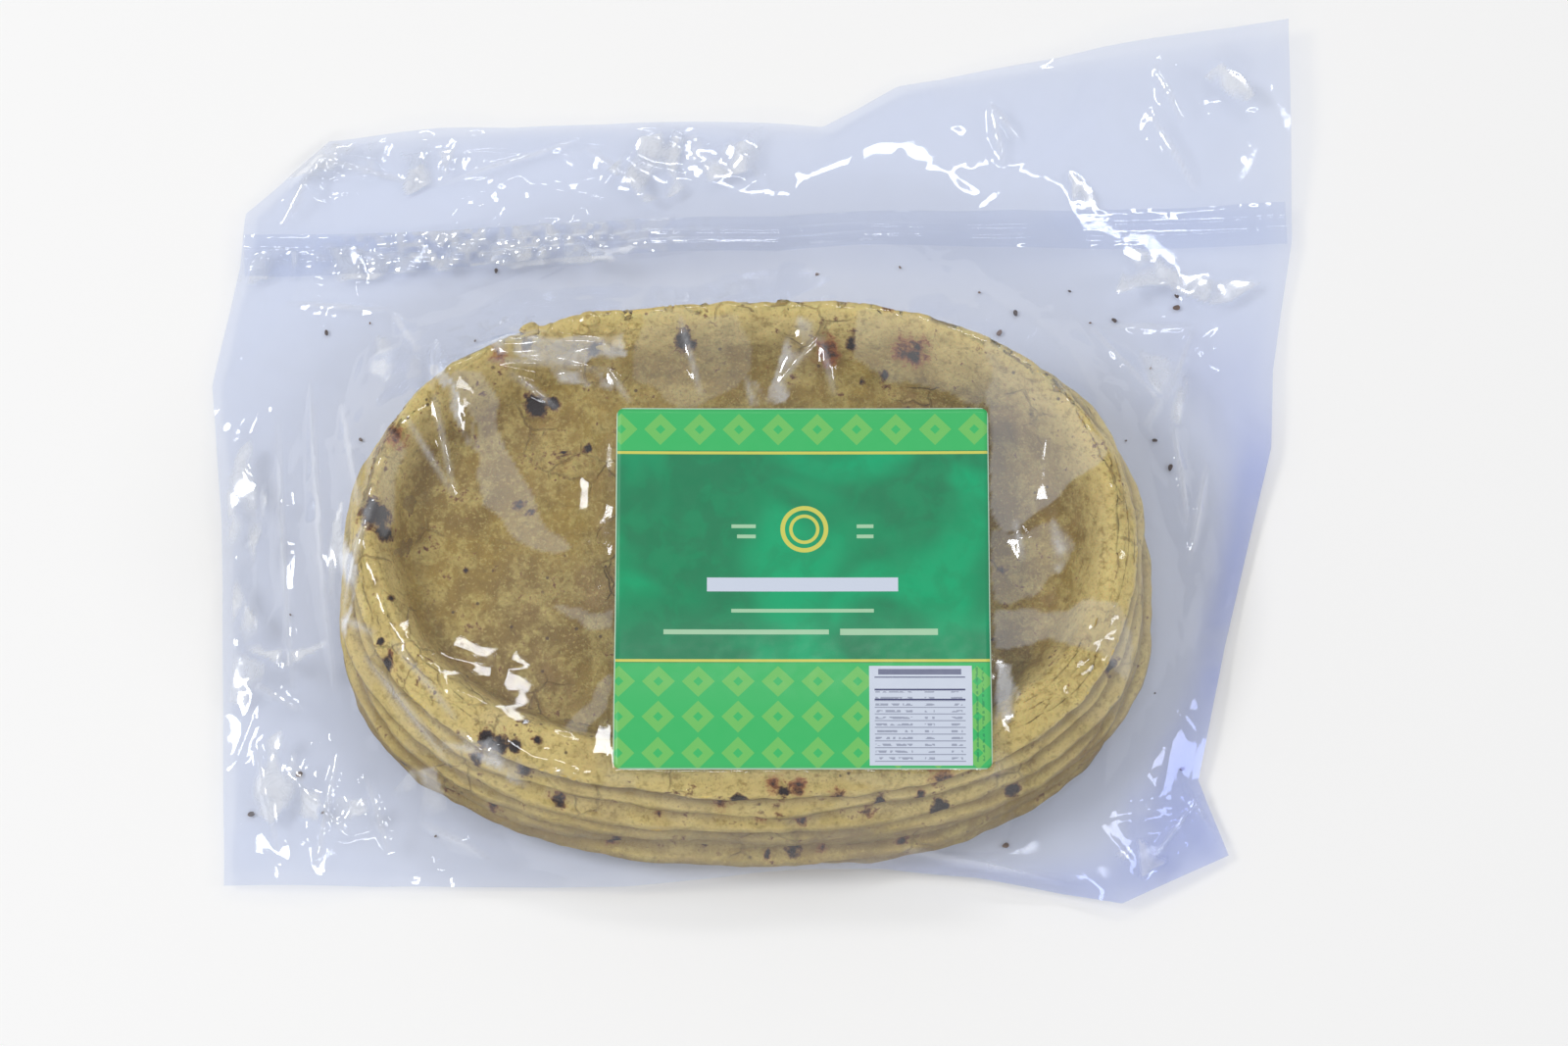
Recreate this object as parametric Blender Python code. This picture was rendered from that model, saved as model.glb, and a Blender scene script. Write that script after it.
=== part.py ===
"""A clear zip bag of oval corn tortillas, lying flat, with its square label and its zip strip.

Metres, +Z up. X runs across the bag, +Y points to the zip, and the bag lies on Z = 0.
"""
import math

import bmesh
import bpy
from mathutils import Vector

# Ovals of the pile inside the bag, as (middle, half width, half depth): the widest tortilla,
# the crest of the top one's curled rim, and the sunken dish inside that rim.
OVAL_SQUARENESS = 2.4
STACK_CENTRE = Vector((-0.0025, -0.0410))
PILE_OVAL = (STACK_CENTRE, 0.1095, 0.0750)
CREST_OVAL = (Vector((-0.0020, -0.0310)), 0.1000, 0.0620)
DISH_OVAL = (Vector((-0.0040, -0.0400)), 0.0810, 0.0440)
RIM_HEIGHT = 0.0400
SIDE_HEIGHT = 0.0270
DISH_HEIGHT = 0.0300
DISH_SWELL = 0.0010            # the film rises this much from the middle to the dish's edge

# The bag's own outline, from the open corner by the zip, clockwise from above.
SEAM = (
    (0.1502, 0.1254), (0.1500, 0.0616), (0.1435, 0.0236), (0.1425, 0.0017), (0.1285, -0.0544),
    (0.1205, -0.0911), (0.1283, -0.1118), (0.1127, -0.1214), (0.0992, -0.1254), (0.0597, -0.1180),
    (0.0352, -0.1160), (0.0000, -0.1180), (-0.0348, -0.1206), (-0.1427, -0.1201), (-0.1461, -0.0192),
    (-0.1502, 0.0199), (-0.1431, 0.0542), (-0.1421, 0.0693), (-0.1191, 0.0909), (-0.0879, 0.0943),
    (-0.0192, 0.0966), (0.0190, 0.0949), (0.0402, 0.1071), (0.0979, 0.1176),
)
SEAM_THICKNESS = 0.0012
SEAM_HEIGHT = 0.0022
SEAM_WAVE = 0.0012
FRONT_SEAM_LIFT = 0.0085       # the near seam rides up the side of the pile
FRONT_SEAM_REACH = 0.0450
CORNER_LIFT = 0.0060           # the far right corner of the header stands up
CORNER_REACH = 0.0900
TENT_REACH = 0.0240            # the film leaves the pile and comes down over this distance
TRAPPED_AIR = 0.0030
FOOT_SHARE = 0.93              # the flat underside ends at this share of the pile's oval

LABEL_SIDE = 0.1000
LABEL_CENTRE = Vector((0.0132, -0.0455))
LABEL_CORNER = 0.0022
LABEL_THICKNESS = 0.0003
LABEL_CELLS = 12
LABEL_LOW = 0.0345             # height of the label's flat part over the dish
LABEL_HIGH = RIM_HEIGHT + 0.0004
LABEL_RISE_START = -0.0480     # from here to the near rim the label climbs
LABEL_RISE_END = -0.0840

ZIP_LEFT = Vector((-0.1395, 0.0590))
ZIP_RIGHT = Vector((0.1465, 0.0655))
ZIP_WIDTH = 0.0120
ZIP_THICKNESS = 0.0008
ZIP_CELLS = 44

GAP = 0.0004                   # clearance between a piece and the film under it
LABEL_CLEARS = 0.0010          # the film within this distance counts as under the label
ZIP_CLEARS = 0.0050            # and this is the zip strip's distance, where the seam bends more

TURNS = 112
PILE_RINGS = (0.20, 0.38, 0.51, 0.60, 0.67, 0.74, 0.80, 0.86, 0.91, 0.96, 1.00)
MARGIN_RINGS = (0.07, 0.15, 0.25, 0.38, 0.52, 0.68, 0.84, 1.00)
UNDER_RINGS = (0.70, 0.40, 0.15, 0.00)

FILM_COLOUR = (0.80, 0.84, 0.90, 1.0)
LABEL_COLOUR = (0.03, 0.32, 0.15, 1.0)
ZIP_COLOUR = (0.86, 0.89, 0.94, 1.0)


def smooth(share):
    share = min(max(share, 0.0), 1.0)
    return share * share * (3.0 - 2.0 * share)


def pile_radius(angle):
    """Distance from the pile's middle to its oval side at this angle."""
    across = abs(math.cos(angle) / PILE_OVAL[1]) ** OVAL_SQUARENESS
    along = abs(math.sin(angle) / PILE_OVAL[2]) ** OVAL_SQUARENESS
    return (across + along) ** (-1.0 / OVAL_SQUARENESS)


def oval_share(oval, x, y):
    """0 in the middle of the oval, 1 on it, more outside it."""
    centre, half_width, half_depth = oval
    across = abs((x - centre.x) / half_width) ** OVAL_SQUARENESS
    along = abs((y - centre.y) / half_depth) ** OVAL_SQUARENESS
    return (across + along) ** (1.0 / OVAL_SQUARENESS)


def seam_radius(angle):
    """Distance from the pile's middle to the bag's outline at this angle."""
    ray = Vector((math.cos(angle), math.sin(angle)))
    farthest = 0.0
    for index, corner in enumerate(SEAM):
        start = Vector(corner) - STACK_CENTRE
        side = Vector(SEAM[(index + 1) % len(SEAM)]) - STACK_CENTRE - start
        turn = ray.cross(side)
        if abs(turn) < 1e-12:
            continue
        share = start.cross(ray) / turn
        reach = start.cross(side) / turn
        if -1e-9 <= share <= 1.0 + 1e-9 and reach > 0.0:
            farthest = max(farthest, reach)
    return farthest


def seam_height(x, y):
    """Height of the middle of the bag's seam near this point."""
    wave = SEAM_WAVE * (math.sin(95.0 * x + 1.0) + math.sin(80.0 * y - 40.0 * x))
    front = FRONT_SEAM_LIFT * smooth(1.0 - abs(x - 0.010) / FRONT_SEAM_REACH) * smooth(-y / 0.100)
    far_corner = math.hypot(x - SEAM[0][0], y - SEAM[0][1])
    corner = CORNER_LIFT * smooth(1.0 - far_corner / CORNER_REACH)
    return SEAM_HEIGHT + abs(wave) + front + corner


def pile_height(x, y):
    """Height of the film over the pile: the dish, the slope up to the rim, and the rim's round side."""
    dish = oval_share(DISH_OVAL, x, y)
    crest = oval_share(CREST_OVAL, x, y)
    side = oval_share(PILE_OVAL, x, y)
    edge = DISH_HEIGHT + DISH_SWELL
    if dish <= 1.0:
        return DISH_HEIGHT + DISH_SWELL * dish * dish
    if crest <= 1.0:
        return edge + (RIM_HEIGHT - edge) * smooth((dish - 1.0) / (dish - crest))
    share = min((crest - 1.0) / max(crest - side, 1e-9), 1.0)
    return RIM_HEIGHT - (RIM_HEIGHT - SIDE_HEIGHT) * share ** 1.6


def film_heights(x, y):
    """Heights of the bag's upper and lower film at this point."""
    arm = Vector((x, y)) - STACK_CENTRE
    angle = math.atan2(arm.y, arm.x)
    inner = pile_radius(angle)
    if arm.length <= inner:
        return pile_height(x, y), 0.0
    room = seam_radius(angle) - inner
    beyond = min(arm.length - inner, room)
    seam = seam_height(x, y)
    slope = 1.0 - smooth(beyond / min(room, TENT_REACH))
    lower = max(seam * smooth(beyond / room) - SEAM_THICKNESS / 2.0, 0.0)
    margin = lower + SEAM_THICKNESS + TRAPPED_AIR * math.sin(math.pi * beyond / room)
    upper = margin + max(SIDE_HEIGHT - margin, 0.0) * slope
    return upper, lower


def seam_angles():
    """Even turns round the pile, with the nearest one moved onto each corner of the outline."""
    step = 2.0 * math.pi / TURNS
    angles = [turn * step for turn in range(TURNS)]
    for corner in SEAM:
        arm = Vector(corner) - STACK_CENTRE
        angle = math.atan2(arm.y, arm.x) % (2.0 * math.pi)
        angles[round(angle / step) % TURNS] = angle
    return angles


def new_object(name, mesh, collection, colour, roughness, alpha):
    material = bpy.data.materials.new(name)
    material.use_nodes = True
    shader = material.node_tree.nodes["Principled BSDF"]
    shader.inputs["Base Color"].default_value = colour
    shader.inputs["Roughness"].default_value = roughness
    shader.inputs["Alpha"].default_value = alpha
    mesh.materials.append(material)
    mesh.shade_smooth()
    mesh.set_sharp_from_angle(angle=math.radians(40.0))
    made = bpy.data.objects.new(name, mesh)
    collection.objects.link(made)
    return made


def build_bag(collection):
    """A flat disc is spun with one ring for each step out, then each ring is drawn to its place."""
    top_rings = len(PILE_RINGS) + len(MARGIN_RINGS)
    shell = bmesh.new()
    profile = [shell.verts.new((0.0, 0.0, 1.0))]
    for ring in range(1, top_rings + 1):
        profile.append(shell.verts.new((float(ring), 0.0, 1.0)))
    for ring in range(top_rings, top_rings - len(UNDER_RINGS) - 1, -1):
        profile.append(shell.verts.new((float(ring), 0.0, 0.0)))
    edges = [shell.edges.new(pair) for pair in zip(profile, profile[1:])]
    bmesh.ops.spin(shell, geom=profile + edges, cent=(0, 0, 0), axis=(0, 0, 1),
                   angle=2.0 * math.pi, steps=TURNS, use_merge=True)
    bmesh.ops.remove_doubles(shell, verts=shell.verts, dist=1e-4)
    bmesh.ops.holes_fill(shell, edges=[edge for edge in shell.edges if edge.is_boundary])

    angles = seam_angles()
    step = 2.0 * math.pi / TURNS
    for vert in shell.verts:
        ring = round(math.hypot(vert.co.x, vert.co.y))
        is_top = vert.co.z > 0.5
        if ring == 0:
            vert.co = (STACK_CENTRE.x, STACK_CENTRE.y, DISH_HEIGHT)
            continue
        angle = angles[round((math.atan2(vert.co.y, vert.co.x) % (2.0 * math.pi)) / step) % TURNS]
        inner = pile_radius(angle)
        room = seam_radius(angle) - inner
        if is_top and ring <= len(PILE_RINGS):
            reach = inner * PILE_RINGS[ring - 1]
        elif is_top:
            reach = inner + room * MARGIN_RINGS[ring - len(PILE_RINGS) - 1]
        elif ring == top_rings:
            reach = inner + room
        else:
            share = UNDER_RINGS[top_rings - ring - 1]
            reach = inner * FOOT_SHARE + (room + inner * (1.0 - FOOT_SHARE)) * share
        x = STACK_CENTRE.x + reach * math.cos(angle)
        y = STACK_CENTRE.y + reach * math.sin(angle)
        upper, lower = film_heights(x, y)
        vert.co = (x, y, upper if is_top else lower)
    bmesh.ops.triangulate(shell, faces=shell.faces)
    bmesh.ops.recalc_face_normals(shell, faces=shell.faces)
    mesh = bpy.data.meshes.new("bag")
    shell.to_mesh(mesh)
    shell.free()
    return new_object("bag", mesh, collection, FILM_COLOUR, 0.15, 0.35)


def draped_slab(name, across, along, cells_across, cells_along, place, thickness):
    """A thin slab laid on the film: a grid put in place, lifted onto the film and given a wall."""
    sheet = bmesh.new()
    bmesh.ops.create_grid(sheet, x_segments=cells_across, y_segments=cells_along, size=0.5)
    for vert in sheet.verts:
        vert.co = place(vert.co.x * across, vert.co.y * along)
    upward = bmesh.ops.extrude_face_region(sheet, geom=sheet.faces[:])
    raised = [item for item in upward["geom"] if isinstance(item, bmesh.types.BMVert)]
    bmesh.ops.translate(sheet, verts=raised, vec=(0.0, 0.0, thickness))
    bmesh.ops.recalc_face_normals(sheet, faces=sheet.faces)
    mesh = bpy.data.meshes.new(name)
    sheet.to_mesh(mesh)
    sheet.free()
    return mesh


def clear_of_film(x, y, reach):
    """The lowest height that clears the film all round this point."""
    around = [(x, y)]
    for turn in range(8):
        angle = turn * math.pi / 4.0
        around.append((x + reach * math.cos(angle), y + reach * math.sin(angle)))
    return max(film_heights(*spot)[0] for spot in around) + GAP


def build_label(collection):
    """The label bridges the dish: flat over its middle, then up onto the near rim."""
    half = LABEL_SIDE / 2.0

    def place(x, y):
        corner = Vector((max(abs(x) - half + LABEL_CORNER, 0.0), max(abs(y) - half + LABEL_CORNER, 0.0)))
        if corner.length > LABEL_CORNER:
            corner *= LABEL_CORNER / corner.length
            x = math.copysign(half - LABEL_CORNER + corner.x, x)
            y = math.copysign(half - LABEL_CORNER + corner.y, y)
        x += LABEL_CENTRE.x
        y += LABEL_CENTRE.y
        climb = smooth((LABEL_RISE_START - y) / (LABEL_RISE_START - LABEL_RISE_END))
        height = LABEL_LOW + (LABEL_HIGH - LABEL_LOW) * climb
        return Vector((x, y, max(height, clear_of_film(x, y, LABEL_CLEARS))))

    mesh = draped_slab("label", LABEL_SIDE, LABEL_SIDE, LABEL_CELLS, LABEL_CELLS, place, LABEL_THICKNESS)
    return new_object("label", mesh, collection, LABEL_COLOUR, 0.35, 1.0)


def build_zip(collection):
    """The press-to-close strip, welded across the bag above the pile."""
    along = ZIP_RIGHT - ZIP_LEFT
    across = Vector((-along.y, along.x)).normalized()

    def place(x, y):
        spot = (ZIP_LEFT + ZIP_RIGHT) / 2.0 + along.normalized() * x + across * y
        return Vector((spot.x, spot.y, clear_of_film(spot.x, spot.y, ZIP_CLEARS)))

    mesh = draped_slab("zip_strip", along.length, ZIP_WIDTH, ZIP_CELLS, 2, place, ZIP_THICKNESS)
    return new_object("zip_strip", mesh, collection, ZIP_COLOUR, 0.20, 0.6)


def main():
    for old in list(bpy.data.objects):
        bpy.data.objects.remove(old, do_unlink=True)
    collection = bpy.data.collections.new("tortilla_bag")
    bpy.context.scene.collection.children.link(collection)
    build_bag(collection)
    build_label(collection)
    build_zip(collection)


main()
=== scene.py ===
# A clear zip bag with seven oval corn tortillas, a square label and a few loose crumbs.
# Everything is in metres, +Z up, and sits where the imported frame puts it.
import math

import bmesh
import bpy
import numpy as np
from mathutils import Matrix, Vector
from mathutils.bvhtree import BVHTree
from mathutils.geometry import delaunay_2d_cdt


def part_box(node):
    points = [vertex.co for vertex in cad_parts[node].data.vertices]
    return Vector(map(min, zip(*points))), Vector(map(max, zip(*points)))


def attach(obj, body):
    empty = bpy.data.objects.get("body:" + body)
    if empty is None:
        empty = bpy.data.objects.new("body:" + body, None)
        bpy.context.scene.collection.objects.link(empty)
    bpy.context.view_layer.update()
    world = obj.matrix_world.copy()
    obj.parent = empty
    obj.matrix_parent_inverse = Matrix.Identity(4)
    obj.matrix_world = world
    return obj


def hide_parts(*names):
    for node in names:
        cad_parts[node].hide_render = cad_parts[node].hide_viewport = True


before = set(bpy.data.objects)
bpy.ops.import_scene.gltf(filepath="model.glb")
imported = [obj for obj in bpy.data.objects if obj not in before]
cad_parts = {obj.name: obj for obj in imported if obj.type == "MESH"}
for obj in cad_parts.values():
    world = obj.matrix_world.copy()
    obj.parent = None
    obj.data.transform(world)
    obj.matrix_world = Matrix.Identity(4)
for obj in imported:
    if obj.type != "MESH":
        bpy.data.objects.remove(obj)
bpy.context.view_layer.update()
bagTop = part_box("bag")[1][2]
labelLow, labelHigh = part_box("label")
mm = 0.001
squareness = 2.4                   # exponent of every oval here
print("frame loaded")


# small helpers
def deselectAll():
    if bpy.context.mode != "OBJECT":
        bpy.ops.object.mode_set(mode="OBJECT")
    bpy.ops.object.select_all(action="DESELECT")


def smoothStep(x):
    x = np.clip(x, 0.0, 1.0)
    return x * x * (3.0 - 2.0 * x)


def latticeValue(ix, iy, iz, seed):
    # a repeatable value from 0 to 1 for each lattice point
    mixed = ix * 374761393 + iy * 668265263 + iz * 1274126177 + seed * 362437
    mixed = np.bitwise_and(mixed, 0xFFFFFFFF)
    mixed = np.bitwise_and((mixed ^ (mixed >> 13)) * 1274126177, 0xFFFFFFFF)
    return ((mixed ^ (mixed >> 16)) & 0xFFFF) / 65535.0


def lumps(x, y, size, seed, z=0.0):
    # smooth lumps of about this size, from -1 to 1
    x = np.asarray(x, float) / size
    y = np.asarray(y, float) / size
    z = np.asarray(z, float) / size + np.zeros_like(x)
    ix, iy, iz = (np.floor(v).astype(np.int64) for v in (x, y, z))
    fx, fy, fz = smoothStep(x - ix), smoothStep(y - iy), smoothStep(z - iz)
    total = 0.0
    for dx in (0, 1):
        for dy in (0, 1):
            for dz in (0, 1):
                share = (fx if dx else 1 - fx) * (fy if dy else 1 - fy) * (fz if dz else 1 - fz)
                total = total + share * latticeValue(ix + dx, iy + dy, iz + dz, seed)
    return total * 2.0 - 1.0


def pointsOf(piece):
    co = np.empty(len(piece.data.vertices) * 3, np.float32)
    piece.data.vertices.foreach_get("co", co)
    return co.reshape(-1, 3).astype(float)


def setPoints(piece, points):
    piece.data.vertices.foreach_set("co", np.ascontiguousarray(points, np.float32).ravel())
    piece.data.update()


def normalsOf(piece):
    no = np.empty(len(piece.data.vertices) * 3, np.float32)
    piece.data.vertex_normals.foreach_get("vector", no)
    return no.reshape(-1, 3).astype(float)


def paint(piece, name, values):
    layer = piece.data.attributes.new(name, "FLOAT", "POINT")
    layer.data.foreach_set("value", np.ascontiguousarray(values, np.float32))


def addGrid(name, cellsX, cellsY):
    # a flat grid from -1 to 1 both ways, ready to be drawn into shape
    deselectAll()
    bpy.ops.mesh.primitive_grid_add(x_subdivisions=cellsX, y_subdivisions=cellsY, size=2)
    piece = bpy.context.object
    piece.name = name
    piece.data.name = name
    return piece


def applyModifiers(piece):
    deselectAll()
    piece.select_set(True)
    bpy.context.view_layer.objects.active = piece
    for modifier in list(piece.modifiers):
        bpy.ops.object.modifier_apply(modifier=modifier.name)


def treeOf(pieces):
    # for finding how high these pieces reach at a place
    joined = bmesh.new()
    for piece in pieces:
        joined.from_mesh(piece.data)
    tree = BVHTree.FromBMesh(joined)
    joined.free()
    return tree


def topAt(tree, x, y, missing):
    # the height of the first surface met from above, or what to give where there is none
    hit = tree.ray_cast(Vector((x, y, 0.1)), Vector((0, 0, -1)))[0]
    return missing if hit is None else hit.z


def finishPiece(piece, material, replaced=None):
    piece.data.materials.clear()
    piece.data.materials.append(material)
    deselectAll()
    piece.select_set(True)
    bpy.context.view_layer.objects.active = piece
    bpy.ops.object.shade_smooth()
    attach(piece, "root")
    if replaced:
        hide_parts(replaced)
    return piece


# shader maths
class Wire:
    # a socket that can be added, multiplied and so on
    def __init__(self, graph, socket):
        self.graph = graph
        self.socket = socket

    def maths(self, operation, first, second=None):
        values = {0: first} if second is None else {0: first, 1: second}
        return self.graph.node("ShaderNodeMath", {"operation": operation}, values)

    def __add__(self, other):
        return self.maths("ADD", self, other)

    def __radd__(self, other):
        return self.maths("ADD", other, self)

    def __sub__(self, other):
        return self.maths("SUBTRACT", self, other)

    def __rsub__(self, other):
        return self.maths("SUBTRACT", other, self)

    def __mul__(self, other):
        return self.maths("MULTIPLY", self, other)

    def __rmul__(self, other):
        return self.maths("MULTIPLY", other, self)

    def __truediv__(self, other):
        return self.maths("DIVIDE", self, other)

    def __pow__(self, other):
        return self.maths("POWER", self, other)

    def __gt__(self, other):
        return self.maths("GREATER_THAN", self, other)

    def __lt__(self, other):
        return self.maths("LESS_THAN", self, other)

    def size(self):
        return self.maths("ABSOLUTE", self)

    def atMost(self, other):
        return self.maths("MINIMUM", self, other)

    def atLeast(self, other):
        return self.maths("MAXIMUM", self, other)

    def fold(self, step):
        # counts from 0 to step again and again
        return self.maths("FLOORED_MODULO", self, step)

    def ramp(self, low, high, start=0.0, end=1.0):
        return self.graph.node("ShaderNodeMapRange", {"interpolation_type": "SMOOTHSTEP"},
                               {0: self, 1: low, 2: high, 3: start, 4: end})


class Graph:
    def __init__(self, name):
        self.material = bpy.data.materials.new(name)
        self.material.use_nodes = True
        self.tree = self.material.node_tree
        self.tree.nodes.clear()
        self.output = self.tree.nodes.new("ShaderNodeOutputMaterial")

    def plug(self, socket, value):
        if isinstance(value, Wire):
            self.tree.links.new(value.socket, socket)
        else:
            socket.default_value = value

    def node(self, kind, settings=None, inputs=None, out=0):
        made = self.tree.nodes.new(kind)
        for key, value in (settings or {}).items():
            setattr(made, key, value)
        for key, value in (inputs or {}).items():
            self.plug(made.inputs[key], value)
        return Wire(self, made.outputs[out])

    def objectPlace(self):
        return self.node("ShaderNodeTexCoord", out="Object")

    def apart(self, place):
        # how far right and how far back a place is
        made = self.node("ShaderNodeSeparateXYZ", {}, {"Vector": place})
        return made, Wire(self, made.socket.node.outputs[1])

    def painted(self, name):
        return self.node("ShaderNodeAttribute", {"attribute_name": name}, out="Fac")

    def noise(self, scale, detail=3.0, roughness=0.5, distortion=0.0, place=None, out=0):
        inputs = {"Scale": scale, "Detail": detail, "Roughness": roughness, "Distortion": distortion}
        inputs["Vector"] = place or self.objectPlace()
        return self.node("ShaderNodeTexNoise", {}, inputs, out)

    def blend(self, factor, first, second):
        settings = {"data_type": "RGBA", "clamp_factor": True}
        return self.node("ShaderNodeMix", settings, {0: factor, 6: first, 7: second}, out=2)

    def warped(self, place, scale, reach):
        # the same place, pushed about by noise so that straight edges wander
        push = self.noise(scale, 3.0, 0.6, 0.0, place, "Color")
        kind, half = "ShaderNodeVectorMath", (0.5, 0.5, 0.5)
        centred = self.node(kind, {"operation": "SUBTRACT"}, {0: push, 1: half})
        scaled = self.node(kind, {"operation": "SCALE"}, {0: centred, "Scale": reach})
        return self.node(kind, {"operation": "ADD"}, {0: place, 1: scaled})

    def bump(self, height, strength, distance):
        inputs = {"Strength": strength, "Distance": distance, "Height": height}
        return self.node("ShaderNodeBump", {}, inputs)

    def principled(self, inputs):
        return self.node("ShaderNodeBsdfPrincipled", {}, inputs)

    def finish(self, shader):
        self.tree.links.new(shader.socket, self.output.inputs["Surface"])
        return self.material


def colour(red, green, blue):
    # an 8-bit screen colour turned to a linear one
    def linear(value):
        value = value / 255.0
        return value / 12.92 if value <= 0.04045 else ((value + 0.055) / 1.055) ** 2.4
    return (linear(red), linear(green), linear(blue), 1.0)


# the tortillas
stack = {
    "layers": 7,
    "thickness": 3.0 * mm,
    "pitch": 3.15 * mm,            # from one tortilla to the next, in the dish
    "crestPitch": 3.6 * mm,
    "lipPitch": 4.5 * mm,
    "topFloor": 21.6 * mm,         # middle of the top one's dish
    "topCrest": 37.4 * mm,
    "topLip": 32.6 * mm,
    "floorOval": (-4.0 * mm, -35.0 * mm, 84.0 * mm, 49.0 * mm),
    "crestOval": (-2.0 * mm, -29.6 * mm, 98.0 * mm, 62.2 * mm),
    "lipOvals": (                  # middle and half sizes of each one's edge, from the top down (mm)
        (-1.5, -34.6, 103.4, 66.6), (-1.2, -36.6, 105.4, 68.4), (-2.4, -38.6, 107.0, 70.0),
        (-2.0, -39.9, 107.8, 71.2), (-2.9, -40.5, 108.6, 71.6), (-2.2, -42.2, 109.2, 72.9),
        (-2.8, -42.0, 108.4, 72.8)),
    "floorShare": 0.56,            # share of the grid inside each oval
    "crestShare": 0.80,
    "fineCells": (250, 176),
    "plainCells": (168, 116),
    "crestWave": 0.9 * mm,         # how much the rim, the dish and the edge go up and down
    "floorWaves": (0.8 * mm, 0.4 * mm),
    "lipWave": 1.9 * mm,
    "pinch": 0.35 * mm,            # lumps and folds that run round the rim
    "crease": 0.40 * mm,
    "blunt": 0.04,                 # share of the grid where the edge thins to nothing
    "lowest": 1.9 * mm,
    "lumps": 0.42 * mm,            # relief of the dough
    "smallLumps": 0.24 * mm,
    "pits": 0.34 * mm,
    "cracks": 0.38 * mm,
    "grit": 0.12 * mm,
}

# toasted spots on the top tortilla: x, y and radius in mm, how dark (1 black, 0.5 brown), and
# how orange its halo
toasted = (
    (-101.1, -25.3, 4.0, 1.0, 0.5), (-98.5, -30.0, 2.4, 0.9, 0.4), (-102.6, -67.2, 1.8, 0.8, 0.6),
    (-97.6, -65.8, 2.2, 0.9, 0.6), (-59.0, 8.2, 3.0, 1.0, 0.3), (-54.8, 9.2, 1.8, 1.0, 0.3),
    (-68.9, 19.0, 2.2, 0.5, 1.0), (-61.1, 21.9, 1.8, 0.9, 0.4), (-43.1, 21.9, 2.0, 0.9, 0.5),
    (-19.0, 24.4, 2.7, 1.0, 0.5), (-16.5, 23.2, 1.6, 0.8, 0.3), (20.2, 21.9, 2.7, 0.5, 1.0),
    (26.3, 23.8, 1.8, 0.9, 0.2), (40.0, 21.8, 2.0, 0.6, 1.0), (44.0, 20.7, 2.6, 0.7, 1.0),
    (41.2, 6.5, 2.1, 1.0, 0.0), (35.5, 16.4, 1.2, 0.9, 0.2), (29.6, 15.0, 1.2, 0.8, 0.3),
    (-70.0, -86.8, 2.4, 1.0, 0.5), (-66.4, -88.0, 2.6, 1.0, 0.6), (-62.8, -88.5, 2.0, 1.0, 0.5),
    (-56.3, -87.5, 1.5, 0.9, 0.5), (-3.4, -102.5, 1.8, 1.0, 0.2), (-4.6, -102.8, 1.4, 1.0, 0.1),
    (5.5, -98.5, 2.0, 0.6, 1.0), (8.0, -100.3, 1.7, 0.9, 0.6), (12.1, -99.5, 1.8, 0.6, 1.0),
    (13.9, -103.8, 1.5, 0.9, 0.5), (22.2, -102.0, 2.1, 0.7, 1.0), (23.0, -103.6, 1.2, 0.9, 0.4),
    (44.4, -101.5, 1.6, 0.7, 0.9), (50.0, -96.8, 2.4, 0.5, 1.0), (55.0, -98.5, 2.2, 0.8, 0.7),
    (58.1, -100.2, 2.6, 1.0, 0.4), (55.6, -102.2, 1.8, 0.9, 0.3), (60.0, -97.6, 2.2, 0.6, 1.0),
    (-77.4, -37.7, 1.1, 0.9, 0.2), (-69.5, -36.9, 1.1, 0.9, 0.1), (-63.2, -19.5, 1.7, 0.8, 0.0),
    (-60.5, -21.4, 1.2, 0.8, 0.0), (67.0, -37.2, 1.4, 0.8, 0.0), (62.7, -50.7, 1.0, 0.9, 0.1),
    (64.0, -56.0, 0.9, 0.9, 0.1), (-44.8, -3.6, 1.2, 0.9, 0.2), (-51.2, -4.9, 1.2, 0.9, 0.2),
    (-96.2, -48.7, 1.1, 1.0, 0.3), (-95.7, -4.4, 2.4, 0.5, 0.9), (-99.0, -60.0, 1.2, 0.9, 0.3),
    (36.1, 33.0, 2.2, 0.6, 0.6), (-60.0, -82.0, 0.9, 0.9, 0.1),
)


def ovalRadius(angle, halfWidth, halfDepth):
    across = np.abs(np.cos(angle) / halfWidth) ** squareness
    along = np.abs(np.sin(angle) / halfDepth) ** squareness
    return (across + along) ** (-1.0 / squareness)


def ovalPoint(oval, angle, share, grow=1.0):
    x, y, halfWidth, halfDepth = oval
    reach = ovalRadius(angle, halfWidth * grow, halfDepth * grow) * share
    return x + reach * np.cos(angle), y + reach * np.sin(angle)


def edgeWobble(angle, index):
    return 1.0 + 0.018 * lumps(np.cos(angle), np.sin(angle), 0.55, 11 * index + 1) \
        + 0.011 * lumps(np.cos(angle), np.sin(angle), 0.20, 11 * index + 2)


def lipOval(index):
    return tuple(size * mm for size in stack["lipOvals"][index])


def outsideLip(x, y, index):
    # how far a place lies outside the edge of this tortilla
    middleX, middleY, halfWidth, halfDepth = lipOval(index)
    turn = np.arctan2(y - middleY, x - middleX)
    reach = ovalRadius(turn, halfWidth, halfDepth) * edgeWobble(turn, index)
    return np.hypot(x - middleX, y - middleY) - reach


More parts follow.
